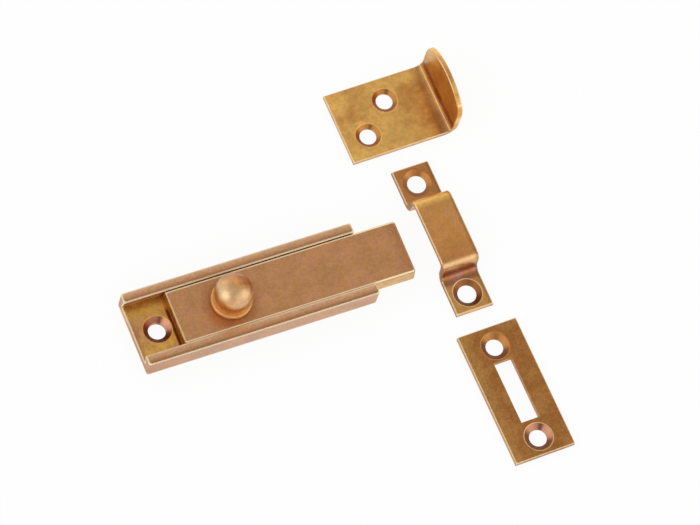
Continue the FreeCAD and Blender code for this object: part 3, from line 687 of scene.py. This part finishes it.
class SLIDEBOLT_OT_turn_knob(bpy.types.Operator):
    """Turn the ball knob with its rounded collar and give it fingered brass"""
    bl_idname = "slidebolt.turn_knob"
    bl_label = "Turn Knob"

    def execute(self, context):
        colours, sizes, finish, tarnish = fresh_finish(context, "knob_brass", seed=11)
        centre_x = (KNOB_LOW.x + KNOB_HIGH.x) / 2
        knob = turn("turned_knob", knob_profile(sizes), centre_x, sizes.knob_steps)
        knob.data.set_sharp_from_angle(angle=math.radians(40))
        on_collar = finish.ease(finish.z, BOLT_TOP + 1.6 * MM, BOLT_TOP + 3 * MM, 0.4, 0.0)
        colour = self.ball_tone(finish, colours)
        colour = tarnish.cloud(colour, clouds=0.05, blots=0.07, grain=0.05)
        colour = tarnish.tarnish_and_shade_corners(colour, depth=0.35)
        knob.data.materials.append(tarnish.metal(colour, sizes.knob_roughness, tarnish.bumps(2e-6), on_collar,
                                                 coat=0.1))
        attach(knob, "bolt")
        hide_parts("knob")
        return {"FINISHED"}

    def ball_tone(self, finish, colours):
        """Cream ball with an orange cap, a brown stain and a shaded far side, a painted highlight on its left
        shoulder, a painted dark reflection between its highlights, and painted reflections and shade of the
        bolt and collar low down.
        """
        smears = finish.noise(2.4 * MM, 3.0, seed=12)
        uneven = finish.ease(smears, 0.35, 0.6, 0.6, 1.0)
        dark_reflection_seam = finish.facing((-0.50, -0.60, 0.63), 0.93, 0.99)
        cap = finish.facing((0.20, 0.38, 0.90), 0.70, 0.93)
        stain = finish.facing((0.62, 0.05, 0.78), 0.80, 0.97)
        far_side = finish.facing((0.28, 0.88, 0.39), 0.45, 0.85)
        shoulder_highlight = finish.facing((-0.75, -0.23, 0.62), 0.88, 0.99)
        gold_reflection_below = finish.ease(finish.rise, -0.1, 0.35, 0.6, 0.0)
        under = finish.maths("MAXIMUM", finish.facing((-0.55, -0.74, -0.38), 0.55, 0.9),
                             finish.fade(finish.z, BOLT_TOP + 2 * MM, BOLT_TOP + 4.2 * MM))
        # Painted dark reflection between the ball's two highlights.
        colour = finish.patch(colours.knob_cream, colours.bar_shade, dark_reflection_seam, 0.35)
        colour = finish.patch(colour, colours.knob_orange, cap, uneven, 0.9)
        colour = finish.patch(colour, colours.knob_brown, stain, uneven)
        colour = finish.patch(colour, colours.bar_shade, far_side, uneven, 0.7)
        # Painted highlight on the ball's left shoulder.
        colour = finish.patch(colour, colours.worn_edge_and_highlight, shoulder_highlight, 0.22)
        # Painted reflection of the gold bolt on the ball's lower half.
        colour = finish.patch(colour, colours.angle_gold, gold_reflection_below)
        # Painted orange reflection and shade under the ball and on the collar.
        return finish.patch(colour, colours.knob_orange, under, 0.85)


class SLIDEBOLT_OT_finish_angle_keep(bpy.types.Operator):
    """Give the angle keep golden brass with brown clouds, a deep brown lip and a dull fold"""
    bl_idname = "slidebolt.finish_angle_keep"
    bl_label = "Finish Angle Keep"

    def execute(self, context):
        colours, sizes, finish, tarnish = fresh_finish(context, "angle_keep_brass", seed=21, handled=0.75)
        along, across = finish.lie(*ANGLE_LIE)
        mid_bend_highlight = finish.times(finish.between(finish.rise, 0.69, 0.73, 0.02),
                                finish.ease(along, FOLD_START + 0.3 * MM, FOLD_START + 0.8 * MM))
        low_side = finish.times(finish.upright(0.6), finish.ease(finish.z, 1.2 * MM, 1.6 * MM, 0.7, 0.0))
        colour = self.plate_tone(finish, tarnish, colours, along)
        colour = self.fold_tone(finish, colours, colour, along, across)
        colour = self.lip_tone(finish, colours, colour, across)
        # Painted highlight along the middle of the bend.
        colour = finish.patch(colour, colours.cream_rub_and_highlight, mid_bend_highlight, 0.7)
        # Painted reflection of the pale floor on the low upright sides.
        colour = finish.patch(colour, colours.side_reflection_tan, low_side)
        colour = tarnish.cloud(colour, clouds=0.07, blots=0.07, grain=0.05, specks=0.05)
        colour = tarnish.tarnish_and_shade_corners(colour, depth=0.4)
        colour = tarnish.rub_and_highlight_edges(colour, strength=0.6, above=0.9 * MM)
        height = tarnish.bumps()
        for hole in ("angle_inner_screw_hole", "angle_outer_screw_hole"):
            colour, height = turned_sink(finish, colour, height, hole, colours.angle_stain,
                                         colours.keep_sink, colours.angle_gold)
        tarnish.dress("angle_keep", colour, sizes.keep_roughness, height, tarnish.scatter)
        return {"FINISHED"}

    def plate_tone(self, finish, tarnish, colours, along):
        """Gold with orange brown clouds that thicken towards the fold, and greenish patches."""
        patches = finish.noise(9 * MM, 3.5, seed=22)
        browning = finish.ease(along, 16 * MM, 30 * MM, -0.06, 0.05)
        stained = finish.ease(finish.maths("ADD", patches, browning), 0.42, 0.62, 0.05, 0.8)
        olive = finish.times(finish.ease(tarnish.clouds, 0.45, 0.6),
                             finish.between(along, 8 * MM, 22 * MM, 5 * MM))
        colour = finish.patch(colours.angle_gold, colours.angle_stain, stained)
        return finish.patch(colour, colours.angle_olive, olive, 0.7)

    def fold_tone(self, finish, colours, colour, along, across):
        """Oxide on the plate beside the fold, and a dull brown bend."""
        by_fold = finish.between(along, FOLD_START - 0.5 * MM, FOLD_START + 0.8 * MM, 2 * MM)
        in_bend = finish.times(finish.ease(along, FOLD_START, FOLD_START + 0.5 * MM),
                               finish.fade(finish.z, FOLD_TOP, FOLD_TOP + 0.5 * MM),
                               finish.ease(finish.rise, 0.1, 0.3))
        oxide = finish.ease(across, 3 * MM, 12 * MM, 0.55, 0.25)
        bend_oxide = finish.ease(across, 2 * MM, 12 * MM, 0.2, 0.05)
        colour = finish.patch(colour, colours.fold_mauve, by_fold, oxide)
        colour = finish.patch(colour, colours.keep_sink, in_bend, 0.35)
        return finish.patch(colour, colours.fold_mauve, in_bend, bend_oxide)

    def lip_tone(self, finish, colours, colour, across):
        """A deep brown inner side that is painted shade, with oxide and a red streak low down and a paler far
        end.
        """
        on_lip = finish.times(finish.ease(finish.z, 2.2 * MM, 3.6 * MM),
                              finish.facing((-1, 0, 0.3), 0.5, 0.8))
        low_lip = finish.between(finish.z, 2.4 * MM, FOLD_TOP, 2.5 * MM)
        red_streak = finish.times(finish.between(across, 10.5 * MM, 13.5 * MM, 1.5 * MM), low_lip)
        far_end = finish.times(finish.ease(across, 18.5 * MM, 23 * MM),
                               finish.ease(finish.z, 9 * MM, 14 * MM))
        # Painted shade: the lip's inner face darker than the plate.
        colour = finish.patch(colour, colours.lip_shade_brown, on_lip, 0.95)
        colour = finish.patch(colour, colours.fold_mauve, on_lip, low_lip, 0.7)
        colour = finish.patch(colour, colours.crevice_red_and_shadow, on_lip, red_streak, 0.6)
        return finish.patch(colour, colours.cream_rub_and_highlight, on_lip, far_end, 0.35)


class SLIDEBOLT_OT_finish_staple_keep(bpy.types.Operator):
    """Give the staple keep brown brass with rubbed top bends and oxide in its near fold"""
    bl_idname = "slidebolt.finish_staple_keep"
    bl_label = "Finish Staple Keep"

    def execute(self, context):
        colours, sizes, finish, tarnish = fresh_finish(context, "staple_keep_brass", seed=31, handled=0.75)
        along, across = finish.lie(*STAPLE_LIE)
        colour = tarnish.mottle(colours.staple_gold, colours.bar_brass, colours.angle_stain, strength=0.5)
        colour = self.strap_tone(finish, colours, colour, across)
        colour = self.top_bend_highlights(finish, colours, colour, across)
        colour = self.near_fold_tone(finish, colours, colour, across)
        colour = self.side_tone(finish, colours, colour, along)
        colour = tarnish.cloud(colour, clouds=0.06, blots=0.05, grain=0.06, specks=0.04)
        colour = tarnish.tarnish_and_shade_corners(colour, depth=0.5)
        colour = tarnish.rub_and_highlight_edges(colour, strength=0.75, above=0.9 * MM)
        height = tarnish.bumps()
        for hole, bright, dark, rim in (
                ("staple_near_screw_hole", colours.keep_sink, colours.keep_shade, colours.cream_rub_and_highlight),
                ("staple_far_screw_hole", colours.angle_stain, colours.keep_sink, colours.keep_sink)):
            colour, height = turned_sink(finish, colour, height, hole, bright, dark, rim, streaked=0.1)
        tarnish.dress("staple_keep", colour, sizes.keep_roughness, height, tarnish.scatter)
        return {"FINISHED"}

    def strap_tone(self, finish, colours, colour, across):
        """Browner on the near half and the far foot, greenish on the near foot."""
        near_half = finish.ease(across, 16 * MM, 34 * MM, 0.5, 0.0)
        near_end = finish.ease(across, 13 * MM, 24 * MM, 0.25, 0.0)
        near_foot = finish.ease(across, 8 * MM, 11 * MM, 0.5, 0.0)
        far_foot = finish.ease(across, 37 * MM, 39.5 * MM)
        colour = finish.patch(colour, colours.angle_stain, near_half)
        colour = finish.patch(colour, colours.bar_shade, near_end)
        colour = finish.patch(colour, colours.angle_stain, far_foot, 0.8)
        colour = finish.patch(colour, colours.bar_shade, far_foot, 0.35)
        return finish.patch(colour, colours.angle_olive, near_foot)

    def top_bend_highlights(self, finish, colours, colour, across):
        """Painted highlights: cream on the near top bend, gold on the far one and just before it."""
        high_up = finish.ease(finish.z, 5 * MM, 6.5 * MM)
        near_bend_highlight = finish.facing((0, -1, 0.6), 0.72, 0.97)
        far_bend = finish.facing((0, 1, 0.9), 0.8, 0.98)
        before_far_bend = finish.between(across, 35.2 * MM, 37.5 * MM, 1.2 * MM)
        # Painted highlights on the top bends.
        colour = finish.patch(colour, colours.cream_rub_and_highlight, high_up, near_bend_highlight, 0.5)
        colour = finish.patch(colour, colours.angle_gold, high_up, far_bend, 0.7)
        return finish.patch(colour, colours.angle_gold, before_far_bend, high_up, 0.8)

    def near_fold_tone(self, finish, colours, colour, across):
        """Shade and broken mauve oxide where the near foot turns up into its leg."""
        near_leg = finish.times(finish.between(across, 10.4 * MM, 14.5 * MM, 0.8 * MM),
                                finish.fade(finish.z, 4.2 * MM, 5.6 * MM))
        oxide = finish.noise(3.2 * MM, 2.0, seed=35)
        colour = finish.patch(colour, colours.keep_shade, near_leg, 0.5)
        return finish.patch(colour, colours.staple_mauve, near_leg, finish.ease(oxide, 0.40, 0.58), 0.75)

    def side_tone(self, finish, colours, colour, along):
        """Tarnish over the strap's right border and its left side."""
        right_border = finish.ease(along, STAPLE_WIDTH - 1.6 * MM, STAPLE_WIDTH - 0.2 * MM)
        left_edge = finish.fade(along, 0.1 * MM, 0.4 * MM)
        colour = finish.patch(colour, colours.keep_shade, right_border, 0.6)
        return finish.patch(colour, colours.keep_shade, finish.upright(0.6), left_edge, 0.75)


class SLIDEBOLT_OT_finish_strike_keep(bpy.types.Operator):
    """Give the strike keep dark brown brass with a lighter left side"""
    bl_idname = "slidebolt.finish_strike_keep"
    bl_label = "Finish Strike Keep"

    def execute(self, context):
        colours, sizes, finish, tarnish = fresh_finish(context, "strike_keep_brass", seed=41, handled=0.75)
        along, across = finish.lie(*STRIKE_LIE)
        left_side = finish.ease(along, 0.5 * MM, 5 * MM, 0.5, 0.0)
        middle = finish.times(finish.between(along, 3 * MM, 17 * MM, 0.5 * MM),
                              finish.between(across, 2 * MM, 42 * MM, 0.5 * MM))
        by_border = finish.minus(0.7, finish.times(middle, 0.65))
        colour = tarnish.mottle(colours.strike_brown, colours.strike_gold, colours.keep_sink, strength=0.35)
        colour = finish.patch(colour, colours.strike_gold, left_side)
        colour = tarnish.cloud(colour, clouds=0.05, blots=0.05, grain=0.12, specks=0.08)
        colour = tarnish.rub_and_highlight_edges(colour, strength=by_border, above=0.9 * MM)
        height = tarnish.bumps()
        for hole, bright, rim, streaked in (
                ("strike_near_screw_hole", colours.sink_highlight_rose, colours.cream_rub_and_highlight, 0.6),
                ("strike_far_screw_hole", colours.angle_stain, colours.angle_stain, 0.0)):
            colour, height = turned_sink(finish, colour, height, hole, bright, colours.keep_shade, rim,
                                         streaked)
        tarnish.dress("strike_keep", colour, sizes.keep_roughness, height, tarnish.scatter)
        return {"FINISHED"}


def soft_lamp(name, power, width, place):
    """A square soft lamp that looks at the origin."""
    light = bpy.data.lights.new(name, "AREA")
    light.energy = power
    light.size = width
    lamp = place_object(name, light)
    lamp.location = place
    lamp.rotation_mode = "QUATERNION"
    lamp.rotation_quaternion = (-Vector(place)).to_track_quat("-Z", "Y")


def floor_paint(studio):
    """Pale floor that keeps its shadow and stays pale to the camera and in reflections."""
    finish = Finish("floor_paint")
    chalk = finish.add("ShaderNodeBsdfDiffuse")
    finish.feed(chalk.inputs["Color"], tuple(studio.floor_colour))
    glow = finish.add("ShaderNodeEmission")
    finish.feed(glow.inputs["Color"], tuple(studio.floor_colour))
    path = finish.add("ShaderNodeLightPath")
    seen = finish.maths("MAXIMUM", path.outputs["Is Camera Ray"], path.outputs["Is Glossy Ray"])
    seen = finish.maths("MAXIMUM", seen, path.outputs["Is Transmission Ray"])
    mix = finish.add("ShaderNodeMixShader")
    finish.feed(mix.inputs[0], finish.times(seen, 1 - studio.shadow_share))
    finish.feed(mix.inputs[1], chalk.outputs[0])
    finish.feed(mix.inputs[2], glow.outputs[0])
    output = finish.add("ShaderNodeOutputMaterial")
    finish.feed(output.inputs["Surface"], mix.outputs[0])
    return finish.material


def surroundings(studio):
    """A pale horizon that dims towards the zenith."""
    world = bpy.data.worlds.new("surroundings")
    bpy.context.scene.world = world
    world.use_nodes = True
    tree = world.node_tree
    tree.nodes.clear()
    direction = tree.nodes.new("ShaderNodeTexCoord")
    split = tree.nodes.new("ShaderNodeSeparateXYZ")
    tree.links.new(direction.outputs["Generated"], split.inputs[0])
    level = tree.nodes.new("ShaderNodeMapRange")
    level.interpolation_type = "SMOOTHSTEP"
    bright_up_to = 0.4
    dim_from = 0.9
    limits = (bright_up_to, dim_from, studio.horizon_light, studio.zenith_light)
    for socket, limit in zip(level.inputs[1:], limits):
        socket.default_value = limit
    tree.links.new(split.outputs["Z"], level.inputs[0])
    background = tree.nodes.new("ShaderNodeBackground")
    tree.links.new(level.outputs[0], background.inputs["Strength"])
    output = tree.nodes.new("ShaderNodeOutputWorld")
    tree.links.new(background.outputs[0], output.inputs["Surface"])


class SLIDEBOLT_OT_set_stage(bpy.types.Operator):
    """Lay the pale floor, hang the soft lamps and set up the camera"""
    bl_idname = "slidebolt.set_stage"
    bl_label = "Set Stage"

    def execute(self, context):
        studio = context.scene.bolt_studio
        floor_gap = 0.05 * MM
        mesh = bmesh.new()
        bmesh.ops.create_circle(mesh, cap_ends=True, segments=96, radius=studio.floor_width / 2)
        bmesh.ops.translate(mesh, verts=mesh.verts, vec=(0, 0, -floor_gap))
        data = bpy.data.meshes.new("floor")
        mesh.to_mesh(data)
        mesh.free()
        data.materials.append(floor_paint(studio))
        floor = place_object("floor", data)
        surroundings(studio)
        soft_lamp("side_lamp", studio.side_lamp_power, studio.lamp_width, (-0.86, -0.18, 0.30))
        soft_lamp("front_lamp", studio.front_lamp_power, studio.lamp_width, (0.60, -0.56, 0.36))
        self.aim_camera(context, studio)
        context.scene.view_settings.view_transform = "Standard"
        return {"FINISHED"}

    def aim_camera(self, context, studio):
        lens = bpy.data.cameras.new("photo_camera")
        lens.sensor_width = 36
        lens.lens = studio.camera_lens
        lens.clip_start = 10 * MM
        lens.clip_end = 20000 * MM
        camera = place_object("photo_camera", lens)
        camera.location = studio.camera_place
        camera.rotation_mode = "QUATERNION"
        sight = Vector(studio.camera_target) - Vector(studio.camera_place)
        roll = Quaternion((0, 0, 1), studio.camera_roll)
        camera.rotation_quaternion = sight.to_track_quat("-Z", "Y") @ roll
        context.scene.camera = camera


OPERATORS = (
    SLIDEBOLT_OT_finish_channel,
    SLIDEBOLT_OT_finish_bolt,
    SLIDEBOLT_OT_finish_pin_and_spring,
    SLIDEBOLT_OT_turn_knob,
    SLIDEBOLT_OT_finish_angle_keep,
    SLIDEBOLT_OT_finish_staple_keep,
    SLIDEBOLT_OT_finish_strike_keep,
    SLIDEBOLT_OT_set_stage,
)


class SLIDEBOLT_PT_panel(bpy.types.Panel):
    """Lists the steps and settings of the slide bolt"""
    bl_idname = "SLIDEBOLT_PT_panel"
    bl_label = "Slide Bolt"
    bl_space_type = "VIEW_3D"
    bl_region_type = "UI"
    bl_category = "Slide Bolt"

    def draw(self, context):
        for operator in OPERATORS:
            self.layout.operator(operator.bl_idname)
        for group in (context.scene.bolt_colours, context.scene.bolt_sizes, context.scene.bolt_studio):
            box = self.layout.box()
            for name in group.bl_rna.properties.keys():
                if name not in ("rna_type", "name"):
                    box.prop(group, name)


CLASSES = (BoltColours, BoltSizes, StudioSettings, *OPERATORS, SLIDEBOLT_PT_panel)


def register():
    for kind in CLASSES:
        bpy.utils.register_class(kind)
    bpy.types.Scene.bolt_colours = PointerProperty(type=BoltColours)
    bpy.types.Scene.bolt_sizes = PointerProperty(type=BoltSizes)
    bpy.types.Scene.bolt_studio = PointerProperty(type=StudioSettings)


def unregister():
    del bpy.types.Scene.bolt_studio
    del bpy.types.Scene.bolt_sizes
    del bpy.types.Scene.bolt_colours
    for kind in reversed(CLASSES):
        bpy.utils.unregister_class(kind)


def main():
    register()
    bpy.ops.slidebolt.finish_channel()
    bpy.ops.slidebolt.finish_bolt()
    bpy.ops.slidebolt.finish_pin_and_spring()
    bpy.ops.slidebolt.turn_knob()
    bpy.ops.slidebolt.finish_angle_keep()
    bpy.ops.slidebolt.finish_staple_keep()
    bpy.ops.slidebolt.finish_strike_keep()
    bpy.ops.slidebolt.set_stage()


if __name__ == "__main__":
    main()
